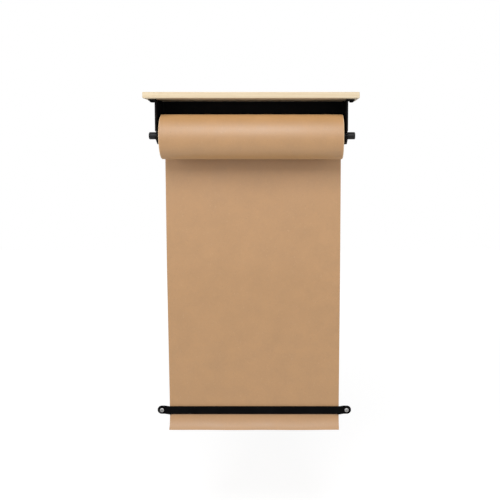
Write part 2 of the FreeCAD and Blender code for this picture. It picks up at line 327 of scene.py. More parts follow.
class Nodes:
    """Adds nodes to one tree and wires them. Each helper returns its output socket."""

    noise_span = (0.3, 0.7)

    def __init__(self, tree: NodeTree) -> None:
        """Start from an emptied tree."""
        self.tree = tree
        tree.nodes.clear()

    def add(
        self, kind: str, inputs: dict[str | int, object] | None = None, **settings: object
    ) -> Node:
        """Add a node, set it and feed its inputs.

        Args:
            kind: Blender's type name of the node, without its ShaderNode prefix.
            inputs: Values or output sockets by input name or number.
            **settings: The node's own settings.

        Returns:
            The new node.
        """
        prefix = "" if kind.startswith("NodeGroup") else "ShaderNode"
        node = self.tree.nodes.new(prefix + kind)
        for key, value in settings.items():
            setattr(node, key, value)
        for key, value in (inputs or {}).items():
            self.feed(node.inputs[key], value)
        return node

    def feed(self, socket: Socket, value: object) -> None:
        """Link an output to a socket, or set the socket's own value.

        Args:
            socket: The input to feed.
            value: An output socket or a plain value.
        """
        if isinstance(value, Socket):
            self.tree.links.new(value, socket)
        else:
            socket.default_value = value

    def result(self, outputs: dict[str, Socket]) -> NodeTree:
        """Feed a group's outputs and give back its tree."""
        return self.add("NodeGroupOutput", outputs).id_data

    def math(self, operation: str, first: object, second: object = 0.0) -> Socket:
        """Combine two values."""
        return self.add("Math", {0: first, 1: second}, operation=operation).outputs[0]

    def times(self, first: object, second: object) -> Socket:
        """Multiply two values."""
        return self.math("MULTIPLY", first, second)

    def spread(
        self, value: object, low: object, high: object, to_low: float = 0.0, to_high: float = 1.0
    ) -> Socket:
        """Map a value from one range to another, held at its ends."""
        inputs = {0: value, 1: low, 2: high, 3: to_low, 4: to_high}
        return self.add("MapRange", inputs, clamp=True).outputs[0]

    def vary(self, noise: object, to_low: float, to_high: float) -> Socket:
        """Map the usual span of a noise to another range."""
        return self.spread(noise, *self.noise_span, to_low, to_high)

    def noise(
        self, place: object, scale: object, detail: float = 2.0, roughness: float = 0.5
    ) -> Socket:
        """Noise around 0.5 at a place."""
        inputs = {"Vector": place, "Scale": scale, "Detail": detail, "Roughness": roughness}
        return self.add("TexNoise", inputs).outputs["Fac"]

    def noise_along(
        self, length: object, scale: float, detail: float, roughness: float = 0.5
    ) -> Socket:
        """Noise around 0.5 that changes along one length alone."""
        inputs = {"W": length, "Scale": scale, "Detail": detail, "Roughness": roughness}
        return self.add("TexNoise", inputs, noise_dimensions="1D").outputs["Fac"]

    def stretched(self, place: object, scale: Triple) -> Socket:
        """Scale a place along its axes."""
        return self.add("Mapping", {"Vector": place, "Scale": scale}).outputs[0]

    def blend(self, factor: object, first: object, second: object, kind: str = "MIX") -> Socket:
        """Mix two colours."""
        inputs = {0: factor, 6: first, 7: second}
        return self.add("Mix", inputs, data_type="RGBA", blend_type=kind).outputs[2]

    def between(self, factor: object, first: object, second: object) -> Socket:
        """Mix two values."""
        return self.add("Mix", {0: factor, 2: first, 3: second}, data_type="FLOAT").outputs[0]

    def mottled(self, colour: Colour, noise: object, low: float, high: float) -> Socket:
        """Shade a colour down and up by a noise."""
        return self.blend(1.0, colour, self.vary(noise, low, high), "MULTIPLY")

    def from_axis(self, place: object, y: float, z: float) -> tuple[Socket, Socket, Socket]:
        """Split a place into its X and its distances from an axis along X.

        Args:
            place: The place.
            y: Y of the axis.
            z: Z of the axis.

        Returns:
            X, the distance across and the distance up.
        """
        parts = self.add("SeparateXYZ", {0: place}).outputs
        across = self.math("SUBTRACT", parts["Y"], y)
        return parts["X"], across, self.math("SUBTRACT", parts["Z"], z)

    def radius(self, place: object, y: float, z: float) -> Socket:
        """Distance of a place from an axis along X."""
        across, up = self.from_axis(place, y, z)[1:]
        return self.math("SQRT", self.math("ADD", self.times(across, across), self.times(up, up)))


@dataclass(frozen=True)
class Group:
    """A shader node group: the defaults of its inputs, None for a vector, and its outputs."""

    name: str
    inputs: dict[str, float | None]
    outputs: tuple[str, ...]

    def open(self) -> tuple[Nodes, dict[str, Socket]]:
        """Make the group, still without its output node.

        Returns:
            Its nodes and its input sockets by name.
        """
        tree = bpy.data.node_groups.new(self.name, "ShaderNodeTree")
        nodes = Nodes(tree)
        for name, default in self.inputs.items():
            kind = "NodeSocketVector" if default is None else "NodeSocketFloat"
            socket = tree.interface.new_socket(name, in_out="INPUT", socket_type=kind)
            if default is not None:
                socket.default_value = default
        for name in self.outputs:
            tree.interface.new_socket(name, in_out="OUTPUT", socket_type="NodeSocketFloat")
        start = nodes.add("NodeGroupInput")
        return nodes, {socket.name: socket for socket in start.outputs}


class Effects:
    """The effects that several materials share, each built once as a node group."""

    def __init__(self) -> None:
        """Build every group."""
        self.grain = self.fine_grain()
        self.wear = self.edge_wear()
        self.fibres = self.paper_fibres()
        self.dust = self.settled_dust()

    @staticmethod
    def fine_grain() -> NodeTree:
        """Build the fine grain of a powder coat or a plated skin.

        Returns:
            The group, which gives a height and a slow mottle.
        """
        defaults = {"Place": None, "Scale": 1800.0, "Mottle Scale": 45.0}
        nodes, given = Group("fine_grain", defaults, ("Height", "Mottle")).open()
        fine = nodes.noise(given["Place"], given["Scale"])
        coarse = nodes.noise(given["Place"], nodes.times(given["Scale"], 0.36), 1.0)
        slow = nodes.noise(given["Place"], given["Mottle Scale"], 4.0)
        height = nodes.math("ADD", nodes.times(fine, 0.4), coarse)
        return nodes.result({"Height": height, "Mottle": slow})

    @staticmethod
    def edge_wear() -> NodeTree:
        """Build broken patches of wear on the faces that carry the edge attribute.

        Returns:
            The group, which gives a mask.
        """
        defaults = {"Place": None, "Edge": 0.0, "Amount": 0.3, "Scale": 120.0}
        nodes, given = Group("edge_wear", defaults, ("Mask",)).open()
        patches = nodes.noise(given["Place"], given["Scale"], 5.0, 0.7)
        least = nodes.math("SUBTRACT", 0.78, nodes.times(given["Amount"], 0.5))
        worn = nodes.spread(patches, least, nodes.math("ADD", least, 0.08))
        return nodes.result({"Mask": nodes.times(worn, given["Edge"])})

    @staticmethod
    def paper_fibres() -> NodeTree:
        """Build unbleached paper: cloudy formation, crossing fibres, dark and pale flecks.

        Returns:
            The group, which gives a mask for each of them and a height.
        """
        names = ("Cloud", "Fibre", "Dark Fleck", "Pale Fleck", "Height")
        nodes, given = Group("paper_fibres", {"Place": None}, names).open()
        place = given["Place"]
        cloud = nodes.math("ADD", nodes.times(nodes.noise(place, 38.0, 3.0), 0.6),
                           nodes.times(nodes.noise(place, 210.0, 3.0, 0.6), 0.4))
        upright = nodes.noise(nodes.stretched(place, (1.0, 0.4, 0.12)), 2600.0)
        across = nodes.noise(nodes.stretched(place, (0.16, 0.5, 1.0)), 2300.0)
        fibre = nodes.math("MAXIMUM", upright, across)
        dark = nodes.noise(nodes.stretched(place, (0.5, 1.0, 1.0)), 900.0, 1.0)
        pale = nodes.noise(nodes.stretched(place, (1.0, 1.0, 0.4)), 760.0, 1.0)
        height = nodes.math("ADD", fibre, nodes.times(cloud, 0.5))
        flecks = (nodes.spread(dark, 0.70, 0.76), nodes.spread(pale, 0.68, 0.75))
        return nodes.result(dict(zip(names, (cloud, fibre, *flecks, height))))

    @staticmethod
    def settled_dust() -> NodeTree:
        """Build thin uneven dust on whatever faces up.

        Returns:
            The group, which gives a mask.
        """
        defaults = {"Place": None, "Normal": None, "Amount": 0.2}
        nodes, given = Group("settled_dust", defaults, ("Mask",)).open()
        up = nodes.add("SeparateXYZ", {0: given["Normal"]}).outputs["Z"]
        patches = nodes.spread(nodes.noise(given["Place"], 160.0, 6.0, 0.65), 0.35, 0.75, 0.2)
        mask = nodes.times(nodes.times(nodes.spread(up, 0.55, 1.0), patches), given["Amount"])
        return nodes.result({"Mask": mask})


class Finish:
    """A material with one Principled shader, which a subclass names, sets and paints."""

    def begin(self) -> None:
        """Make the material with its nodes, its shader and its Object coordinates."""
        self.material = bpy.data.materials.new(self.name)
        self.material.use_nodes = True
        self.nodes = Nodes(self.material.node_tree)
        self.shader = self.nodes.add(
            "BsdfPrincipled", {"Roughness": self.roughness, "Specular IOR Level": self.specular})
        self.nodes.add("OutputMaterial", {"Surface": self.shader.outputs[0]})
        self.place = self.nodes.add("TexCoord").outputs["Object"]

    def effect(self, tree: NodeTree, inputs: dict[str, object] | None = None) -> NodeOutputs:
        """Place a shared effect in the material.

        Args:
            tree: The effect's group.
            inputs: Its inputs by name, apart from the place.

        Returns:
            Its outputs by name.
        """
        node = self.nodes.add("Group", node_tree=tree)
        for key, value in {"Place": self.place, **(inputs or {})}.items():
            self.nodes.feed(node.inputs[key], value)
        return node.outputs

    def paint(self, colour: Socket, rough: Socket | None, height: Socket,
              strength: float, depth: float) -> None:
        """Feed the shader.

        Args:
            colour: The surface's colour.
            rough: Its roughness, or None where it is even.
            height: Its relief, which is fed through a bump.
            strength: Strength of the bump.
            depth: Depth of the relief.
        """
        self.nodes.feed(self.shader.inputs["Base Color"], colour)
        if rough is not None:
            self.nodes.feed(self.shader.inputs["Roughness"], rough)
        bump = self.nodes.add("Bump", {"Height": height, "Strength": strength, "Distance": depth})
        self.nodes.feed(self.shader.inputs["Normal"], bump.outputs[0])


@dataclass
class BlackCoat(Finish):
    """Matt black coating on steel, rubbed bare in places along its edges."""

    effects: Effects
    name: str
    colour: Colour = (0.0050, 0.0048, 0.0050, 1.0)
    bare: Colour = (0.10, 0.10, 0.105, 1.0)
    roughness: float = 0.52
    specular: float = 0.06
    wear: float = 0.22
    grain_scale: float = 1500.0
    relief_depth: float = 0.00006
    dust: float = 0.05
    dust_colour: Colour = (0.30, 0.29, 0.27, 1.0)

    def __post_init__(self) -> None:
        """Paint the coat."""
        self.begin()
        nodes = self.nodes
        grain = self.effect(self.effects.grain, {"Scale": self.grain_scale})
        edge = nodes.add("Attribute", attribute_name="edge").outputs["Fac"]
        wear = self.effect(self.effects.wear, {"Edge": edge, "Amount": self.wear})
        normal = nodes.add("NewGeometry").outputs["Normal"]
        dust = self.effect(self.effects.dust, {"Normal": normal, "Amount": self.dust})
        coat = nodes.mottled(self.colour, grain["Mottle"], 0.75, 1.3)
        coat = nodes.blend(dust["Mask"], coat, self.dust_colour)
        coat = nodes.blend(wear["Mask"], coat, self.bare)
        rough = nodes.vary(grain["Mottle"], self.roughness - 0.06, self.roughness + 0.08)
        self.paint(coat, rough, grain["Height"], 0.5, self.relief_depth)


@dataclass
class ZincPlate(Finish):
    """Bright zinc plate, faintly clouded."""

    effects: Effects
    name: str = "zinc_plate"
    colour: Colour = (0.46, 0.455, 0.45, 1.0)
    roughness: float = 0.34
    specular: float = 0.5
    grain_scale: float = 3500.0
    mottle_scale: float = 600.0

    def __post_init__(self) -> None:
        """Paint the plate."""
        self.begin()
        self.shader.inputs["Metallic"].default_value = 1.0
        scales = {"Scale": self.grain_scale, "Mottle Scale": self.mottle_scale}
        grain = self.effect(self.effects.grain, scales)
        plate = self.nodes.mottled(self.colour, grain["Mottle"], 0.82, 1.12)
        rough = self.nodes.vary(grain["Mottle"], self.roughness - 0.08, self.roughness + 0.08)
        self.paint(plate, rough, grain["Height"], 0.3, 0.00002)


@dataclass
class PaleWood(Finish):
    """Pale close-grained board: growth rings cut lengthwise, pores and a matt oil."""

    name: str = "pale_wood"
    early: Colour = (0.70, 0.59, 0.415, 1.0)
    late: Colour = (0.61, 0.47, 0.295, 1.0)
    pore: Colour = (0.52, 0.35, 0.19, 1.0)
    roughness: float = 0.5
    specular: float = 0.3
    ring_pitch: float = 0.0034
    ring_wander: float = 0.022
    pith_y: float = 0.075
    pith_z: float = -0.12

    def __post_init__(self) -> None:
        """Paint the wood."""
        self.begin()
        nodes, place = self.nodes, self.place
        season = nodes.vary(nodes.noise(place, 42.0), 0.45, 1.0)
        streak = nodes.noise(nodes.stretched(place, (0.05, 1.0, 1.0)), 420.0, 4.0, 0.65)
        pores = nodes.noise(nodes.stretched(place, (0.045, 1.0, 1.0)), 2100.0, 1.0)
        pores = nodes.spread(pores, 0.66, 0.74, 0.0, 0.55)
        late_share = nodes.times(nodes.times(self.rings(), season), 0.55)
        board = nodes.blend(late_share, self.early, self.late)
        board = nodes.blend(nodes.spread(streak, 0.35, 0.72, 0.0, 0.45), board, self.late)
        height = nodes.math("SUBTRACT", nodes.times(streak, 0.6), pores)
        self.paint(nodes.blend(pores, board, self.pore), nodes.vary(streak, 0.44, 0.6),
                   height, 0.35, 0.00008)

    def rings(self) -> Socket:
        """Growth rings around a pith that lies outside the board.

        Returns:
            The socket that says how far each ring has turned to late wood.
        """
        nodes = self.nodes
        stretched = nodes.stretched(self.place, (1.6, 9.0, 9.0))
        wander = nodes.add("TexNoise", {"Vector": stretched, "Scale": 1.0, "Detail": 2.0})
        drift = nodes.add(
            "VectorMath", {0: wander.outputs["Color"], 1: (0.5, 0.5, 0.5)}, operation="SUBTRACT")
        reach = (0.0, self.ring_wander, self.ring_wander)
        moved = nodes.add("VectorMath", {0: drift.outputs[0], 1: reach, 2: self.place},
                          operation="MULTIPLY_ADD")
        radius = nodes.radius(moved.outputs[0], self.pith_y, self.pith_z)
        turn = nodes.math("FRACT", nodes.math("DIVIDE", radius, self.ring_pitch))
        return nodes.times(nodes.spread(turn, 0.15, 0.92), nodes.spread(turn, 0.94, 1.0, 1.0, 0.0))


@dataclass
class KraftPaper(Finish):
    """Natural kraft: warm brown, cloudy and flecked, with a soft calendered sheen.

    The ends of a roll, where the layers are seen edge on, are finely ringed and paler:
    pale cut edges, and on the rounded rim a painted highlight.
    """

    effects: Effects
    name: str
    layered_ends_and_rim_highlight: bool
    axis_y: float = 0.0
    axis_z: float = 0.0
    colour: Colour = (0.508, 0.284, 0.114, 1.0)
    fibre_colour: Colour = (0.58, 0.36, 0.18, 1.0)
    dark_fleck: Colour = (0.25, 0.13, 0.05, 1.0)
    pale_fleck: Colour = (0.70, 0.50, 0.30, 1.0)
    # pale cut edges of the layers, and partly a painted highlight where the rounded rim turns to
    # the side
    cut_and_rim_highlight_colour: Colour = (0.80, 0.57, 0.33, 1.0)
    roughness: float = 0.52
    cut_roughness: float = 0.85
    specular: float = 1.0
    refraction: float = 1.56
    matt: float = 1.0

    def __post_init__(self) -> None:
        """Paint the paper."""
        self.begin()
        self.shader.inputs["IOR"].default_value = self.refraction
        self.shader.inputs["Diffuse Roughness"].default_value = self.matt
        nodes = self.nodes
        fibres = self.effect(self.effects.fibres)
        fibre = nodes.spread(fibres["Fibre"], 0.55, 0.8, 0.0, 0.22)
        paper = nodes.mottled(self.colour, fibres["Cloud"], 0.945, 1.055)
        paper = nodes.blend(fibre, paper, self.fibre_colour)
        paper = nodes.blend(nodes.times(fibres["Dark Fleck"], 0.35), paper, self.dark_fleck)
        paper = nodes.blend(nodes.times(fibres["Pale Fleck"], 0.25), paper, self.pale_fleck)
        rough = nodes.vary(fibres["Cloud"], self.roughness - 0.05, self.roughness + 0.06)
        height = fibres["Height"]
        if self.layered_ends_and_rim_highlight:
            paper, rough, height = self.ends(paper, rough, height)
        self.paint(paper, rough, height, 0.25, 0.00005)

    def ends(self, paper: Socket, rough: Socket, height: Socket) -> tuple[Socket, Socket, Socket]:
        """Mix in the ringed look of the layers at the roll's ends, with paler cut edges and a
        painted highlight on the rounded rim.

        Args:
            paper: Colour so far.
            rough: Roughness so far.
            height: Relief so far.

        Returns:
            The new colour, roughness and relief.
        """
        nodes = self.nodes
        normal = nodes.add("SeparateXYZ", {0: nodes.add("NewGeometry").outputs["Normal"]})
        end = nodes.spread(nodes.math("ABSOLUTE", normal.outputs["X"]), 0.20, 0.60)
        radius = nodes.radius(self.place, self.axis_y, self.axis_z)
        rings = nodes.noise_along(radius, 1900.0, 3.0, 0.7)
        bands = nodes.vary(nodes.noise_along(radius, 260.0, 2.0), 0.84, 1.05)
        shade = nodes.times(nodes.spread(rings, 0.34, 0.66, 0.58, 1.05), bands)
        # ringed pale ends: paler cut edges, and on the rounded rim a painted highlight
        layers = nodes.blend(1.0, self.cut_and_rim_highlight_colour, shade, "MULTIPLY")
        mixed = nodes.between(end, height, nodes.times(rings, 3.0))
        coarse = nodes.between(end, rough, self.cut_roughness)
        return nodes.blend(end, paper, layers), coarse, mixed


@dataclass
class CoreBoard(Finish):
    """Grey-brown board wound in a spiral, with the seams of its plies."""

    effects: Effects
    axis_y: float
    axis_z: float
    name: str = "wound_board"
    colour: Colour = (0.36, 0.25, 0.155, 1.0)
    dark_fleck: Colour = (0.15, 0.09, 0.05, 1.0)
    seam_colour: Colour = (0.12, 0.075, 0.045, 1.0)
    roughness: float = 0.8
    specular: float = 0.25
    seam_pitch: float = 0.045

    def __post_init__(self) -> None:
        """Paint the board."""
        self.begin()
        nodes = self.nodes
        fibres = self.effect(self.effects.fibres)
        x, across, up = nodes.from_axis(self.place, self.axis_y, self.axis_z)
        turn = nodes.math("DIVIDE", nodes.math("ARCTAN2", up, across), 2 * math.pi)
        along = nodes.math("DIVIDE", x, self.seam_pitch)
        spiral = nodes.math("FRACT", nodes.math("ADD", along, turn))
        off_seam = nodes.math("ABSOLUTE", nodes.math("SUBTRACT", spiral, 0.5))
        seam = nodes.spread(off_seam, 0.0, 0.02, 1.0, 0.0)
        board = nodes.mottled(self.colour, fibres["Cloud"], 0.85, 1.12)
        board = nodes.blend(nodes.times(fibres["Dark Fleck"], 0.5), board, self.dark_fleck)
        board = nodes.blend(nodes.times(seam, 0.7), board, self.seam_colour)
        self.paint(board, None, nodes.math("SUBTRACT", fibres["Height"], seam), 0.4, 0.0001)


@dataclass
class PanHeadScrew:
    """Pan head screw with a cross recess, along +Z with its head below z = 0."""

    head_diameter: float
    head_height: float
    diameter: float
    length: float
    plain_length: float
    pitch: float
    crown_share: float = 0.62
    crown_profile: float = 0.58
    seat_share: float = 0.07
    recess_share: float = 0.34
    wing_share: float = 0.19
    recess_depth_share: float = 0.62
    recess_taper: float = 0.55
    root_share: float = 0.74
    point_share: float = 0.8
    tip_share: float = 0.04
    ridge_share: float = 0.26
    sunk_share: float = 0.9
    neck_inset_share: float = 0.3
    bare_tip_share: float = 0.35
    first_turn_share: float = 0.8
    first_height_share: float = 0.15
    point_taper: float = 0.86
    over_share: float = 0.3
    steps: int = 20
    head_sides: int = 48
    shank_sides: int = 32

    def build(self, name: str) -> Piece:
        """Build one screw at the origin.

        Args:
            name: Name of the screw.

        Returns:
            The finished screw, to be copied into place.
        """
        head = self.head(name)
        shank = self.shank(name + "_shank")
        Bench.only(head)
        shank.select_set(True)
        bpy.ops.object.join()
        Bench.smooth(head, 32)
        return head

    def head(self, name: str) -> Piece:
        """Domed head with a cross recess cut into its crown.

        Args:
            name: Name of the screw.

        Returns:
            The head.
        """
        Bench.clear()
        bpy.ops.mesh.primitive_cylinder_add(
            vertices=self.head_sides, radius=self.head_diameter / 2, depth=self.head_height,
            location=(0, 0, -self.head_height / 2))
        piece = Bench.named(name)
        with Bench.editing(piece):
            crown = -self.head_height
            Bench.pick_edges(piece, lambda a, b: same(a.z, crown) and same(b.z, crown))
            bpy.ops.mesh.bevel(
                offset=self.head_height * self.crown_share, segments=7,
                profile=self.crown_profile, affect="EDGES")
            Bench.pick_edges(piece, lambda a, b: same(a.z, 0) and same(b.z, 0))
            bpy.ops.mesh.bevel(
                offset=self.head_height * self.seat_share, segments=2, affect="EDGES")
        length = self.head_diameter * self.recess_share * 2
        width = self.head_diameter * self.wing_share
        for size in ((length, width), (width, length)):
            cutter = self.recess_wing(size)
            Bench.apply(piece, "BOOLEAN", operation="DIFFERENCE", object=cutter, solver="EXACT")
            bpy.data.objects.remove(cutter)
        return piece

    def recess_wing(self, size: tuple[float, float]) -> Piece:
        """One tapered bar of the cross recess.

        Args:
            size: Its length and width at the crown.

        Returns:
            The cutter, which starts a little outside the crown.
        """
        depth = self.head_height * self.recess_depth_share
        over = self.head_height * self.over_share
        Bench.clear()
        bpy.ops.mesh.primitive_cube_add(
            size=1, location=(0, 0, -self.head_height + (depth - over) / 2),
            scale=(size[0], size[1], depth + over))
        cutter = Bench.named("recess_wing")
        with Bench.editing(cutter):
            Bench.pick_faces(cutter, lambda centre, normal: normal.z > FACING)
            bpy.ops.transform.resize(value=(self.recess_taper, self.recess_taper, 1.0))
        return cutter

    def shank(self, name: str) -> Piece:
        """Plain neck, thread and point, all on the +Z axis.

        Args:
            name: Name of the shank.

        Returns:
            The shank with its thread.
        """
        radius = self.diameter / 2
        root = radius * self.root_share
        point = self.diameter * self.point_share
        Bench.clear()
        bpy.ops.mesh.primitive_cylinder_add(
            vertices=self.shank_sides, radius=root, depth=self.length - point,
            location=(0, 0, (self.length - point) / 2))
        core = Bench.named(name)
        with Bench.editing(core):
            Bench.pick_faces(core, lambda centre, normal: normal.z > FACING)
            bpy.ops.mesh.extrude_region_move(TRANSFORM_OT_translate={"value": (0, 0, point)})
            bpy.ops.transform.resize(value=(self.tip_share, self.tip_share, 1.0))
            Bench.pick_faces(core, lambda centre, normal: same(centre.z, 0) and normal.z < -FACING)
            bpy.ops.mesh.inset(thickness=root * self.neck_inset_share)
        thread = self.thread(name + "_thread", root, radius, point)
        Bench.only(core)
        thread.select_set(True)
        bpy.ops.object.join()
        return core

    def thread(self, name: str, root: float, crest: float, point: float) -> Piece:
        """Helical ridge that runs out on the point.

        Args:
            name: Name of the ridge.
            root: Radius at the bottom of the thread.
            crest: Radius at its top.
            point: Length of the tapered point.

        Returns:
            The ridge, closed at both ends.
        """
        turns = (self.length - self.plain_length - point * self.bare_tip_share) / self.pitch
        half = self.pitch * self.ridge_share
        sunk = root * self.sunk_share
        Bench.clear()
        bpy.ops.mesh.primitive_circle_add(
            vertices=3, radius=half, fill_type="NGON", location=(root, 0, self.plain_length))
        ridge = Bench.named(name)
        corners = ((sunk, -half), (sunk, half), (crest, 0.0))
        for vertex, (out, up) in zip(ridge.data.vertices, corners):
            vertex.co = (out, 0, self.plain_length + up)
        with Bench.editing(ridge):
            bpy.ops.mesh.select_all(action="SELECT")
            for _ in range(int(turns * self.steps)):
                rise = (0, 0, self.pitch / self.steps)
                bpy.ops.mesh.extrude_region_move(TRANSFORM_OT_translate={"value": rise})
                bpy.ops.transform.rotate(
                    value=2 * math.pi / self.steps, orient_axis="Z", orient_type="GLOBAL",
                    center_override=(0, 0, 0))
            bpy.ops.mesh.select_all(action="SELECT")
            bpy.ops.mesh.normals_make_consistent(inside=False)
        self.run_out(ridge, root, point)
        return ridge

    def run_out(self, ridge: Piece, root: float, point: float) -> None:
        """Draw the ridge in along the point, and at its start, so that it grows out of the shank.

        Args:
            ridge: The ridge, changed in place.
            root: Radius at the bottom of the thread.
            point: Length of the tapered point.
        """
        low = self.length - point
        sunk = root * self.sunk_share
        first = self.pitch * self.first_turn_share
        flat = self.first_height_share
        for vertex in ridge.data.vertices:
            share = min(1.0, max(0.0, (vertex.co.z - low) / point))
            start = min(1.0, max(0.0, (vertex.co.z - self.plain_length) / first))
            out = math.hypot(vertex.co.x, vertex.co.y)
            grown = sunk + (out - sunk) * (flat + (1 - flat) * start)
            wanted = min(out, grown) * (1 - self.point_taper * share)
            vertex.co.x *= wanted / out
            vertex.co.y *= wanted / out


@dataclass
class BracketAndShelf:
    """The bent steel bracket, the board on it and the four screws that join them."""

    effects: Effects
    edge_softness: float = 0.35 * MM
    corner_radius: float = 2.0 * MM
    board_rounding: float = 1.0 * MM
    side_turn: float = 0.7
    row_turn: float = 40.0

    def build(self) -> None:
        """Build and dress the bracket, the board and its screws."""
        coat = BlackCoat(self.effects, "bracket_coat")
        bracket = Bench.softened("wall_bracket", "steel_bracket", self.edge_softness)
        settle(bracket, Body.WALL, coat.material)
        settle(self.board(), Body.WALL, PaleWood().material)
        self.screws()

    def board(self) -> Piece:
        """Board with rounded corners and softened edges, in the place of its CAD solid.

        Returns:
            The board.
        """
        low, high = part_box("shelf_board")
        Bench.clear()
        bpy.ops.mesh.primitive_cube_add(size=1, location=(low + high) / 2, scale=high - low)
        board = Bench.named("wooden_board")
        with Bench.editing(board):
            Bench.pick_edges(board, lambda a, b: not same(a.z, b.z, MM))
            bpy.ops.mesh.bevel(offset=self.corner_radius, segments=6, affect="EDGES")
            Bench.pick_edges(board, lambda a, b: same(a.z, b.z))
            bpy.ops.mesh.bevel(offset=self.board_rounding, segments=4, affect="EDGES")
        Bench.smooth(board, 25)
        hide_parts("shelf_board")
        return board

    def screws(self) -> None:
        """The four black screws up through the bracket's ears, modelled once and copied."""
        coat = BlackCoat(
            self.effects, "shelf_screw_coat", roughness=0.38, wear=0.0, grain_scale=4000.0)
        screw = PanHeadScrew(
            head_diameter=6.5 * MM, head_height=2.2 * MM, diameter=3.2 * MM, length=9.5 * MM,
            plain_length=3.0 * MM, pitch=1.3 * MM)
        pattern = screw.build("screw_pattern")
        for side in Side:
            for row in ("front", "rear"):
                node = f"shelf_screw_{side.name.lower()}_{row}"
                low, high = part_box(node)
                centre = (low + high) / 2
                place = Vector((centre.x, centre.y, low.z + screw.head_height))
                angle = self.side_turn * side.value + place.y * self.row_turn
                turn = Matrix.Rotation(angle, 4, "Z")
                piece = Bench.copied(pattern, "board_" + node, Matrix.Translation(place) @ turn)
                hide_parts(node)
                settle(piece, Body.WALL, coat.material)
        bpy.data.objects.remove(pattern)


@dataclass
class TearBar:
    """The flat bar that holds the sheet and tears it, and its two bright screws."""

    effects: Effects
    edge_softness: float = 0.3 * MM
    gauge: float = 2.5 * MM
    screw_turn: float = 0.4
    colour: Colour = (0.0036, 0.0036, 0.0038, 1.0)

    def build(self) -> None:
        """Build and dress the bar and its screws."""
        coat = BlackCoat(
            self.effects, "tear_bar_coat", colour=self.colour, specular=0.02, wear=0.28)
        bar = Bench.softened("tear_bar", "flat_tear_bar", self.edge_softness)
        settle(bar, Body.WALL, coat.material)
        zinc = ZincPlate(self.effects)
        screw = PanHeadScrew(
            head_diameter=7.4 * MM, head_height=2.6 * MM, diameter=4.0 * MM, length=19.0 * MM,
            plain_length=5.0 * MM, pitch=1.8 * MM)
        pattern = screw.build("screw_pattern")
        for side in Side:
            node = f"bar_screw_{side.name.lower()}"
            low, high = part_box(node)
            place = Vector(((low.x + high.x) / 2, -self.gauge, (low.z + high.z) / 2))
            turn = (Matrix.Rotation(-math.pi / 2, 4, "X")
                    @ Matrix.Rotation(self.screw_turn * side.value, 4, "Z"))
            piece = Bench.copied(pattern, "zinc_" + node, Matrix.Translation(place) @ turn)
            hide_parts(node)
            settle(piece, Body.WALL, zinc.material)
        bpy.data.objects.remove(pattern)


@dataclass
class RodAndCaps:
    """The rod that carries the roll and the turned cap on each of its ends."""

    effects: Effects
    around: int = 72
    chamfer: float = 1.0 * MM
    edge_softness: float = 0.18 * MM
    bore_radius: float = 4.05 * MM
    bore_depth: float = 7.9 * MM
    tool_depth: float = 0.12 * MM
    tool_pitch: float = 0.6 * MM
    tool_rings: int = 5
    colour: Colour = (0.013, 0.013, 0.014, 1.0)

    def build(self) -> None:
        """Dress the rod and build its caps."""
        satin = BlackCoat(
            self.effects, "satin_black", colour=self.colour, roughness=0.36,
            specular=0.2, wear=0.1, grain_scale=3000.0, relief_depth=0.00002)
        dress_node("roll_rod", satin.material)
        pattern = self.turned_cap()
        for side in Side:
            node = f"rod_cap_{side.name.lower()}"
            low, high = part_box(node)
            inner = low.x if side is Side.RIGHT else high.x
            place = Matrix.Translation((inner, (low.y + high.y) / 2, (low.z + high.z) / 2))
            turn = Matrix.Rotation(math.pi / 2 * side.value, 4, "Y")
            cap = Bench.copied(pattern, f"turned_cap_{side.name.lower()}", place @ turn)
            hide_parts(node)
            settle(cap, Body.ROD, satin.material)
        bpy.data.objects.remove(pattern)

    def turned_cap(self) -> Piece:
        """Cap turned in one piece along +Z: bored at z = 0, chamfered and faced at its far end.

        Returns:
            The pattern for both caps.
        """
        low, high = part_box("rod_cap_right")
        radius, length = (high.z - low.z) / 2, high.x - low.x
        Bench.clear()
        bpy.ops.mesh.primitive_cylinder_add(
            vertices=self.around, radius=radius, depth=length, location=(0, 0, length / 2))
        cap = Bench.named("cap_pattern")
        with Bench.editing(cap):
            Bench.pick_edges(cap, lambda a, b: same(a.z, length) and same(b.z, length))
            bpy.ops.mesh.bevel(offset=self.chamfer, segments=1, affect="EDGES")
            Bench.pick_faces(cap, lambda centre, normal: normal.z > FACING)
            for ring in range(self.tool_rings):
                depth = self.tool_depth * (1 if ring % 2 else -1) / 2
                bpy.ops.mesh.inset(thickness=self.tool_pitch, depth=depth)
            Bench.pick_faces(cap, lambda centre, normal: normal.z < -FACING)
            bpy.ops.mesh.inset(thickness=radius - self.bore_radius)
            rise = (0, 0, self.bore_depth)
            bpy.ops.mesh.extrude_region_move(TRANSFORM_OT_translate={"value": rise})
        Bench.apply(cap, "BEVEL", width=self.edge_softness, segments=3, limit_method="ANGLE",
                    angle_limit=math.radians(30))
        Bench.smooth(cap, 40)
        return cap


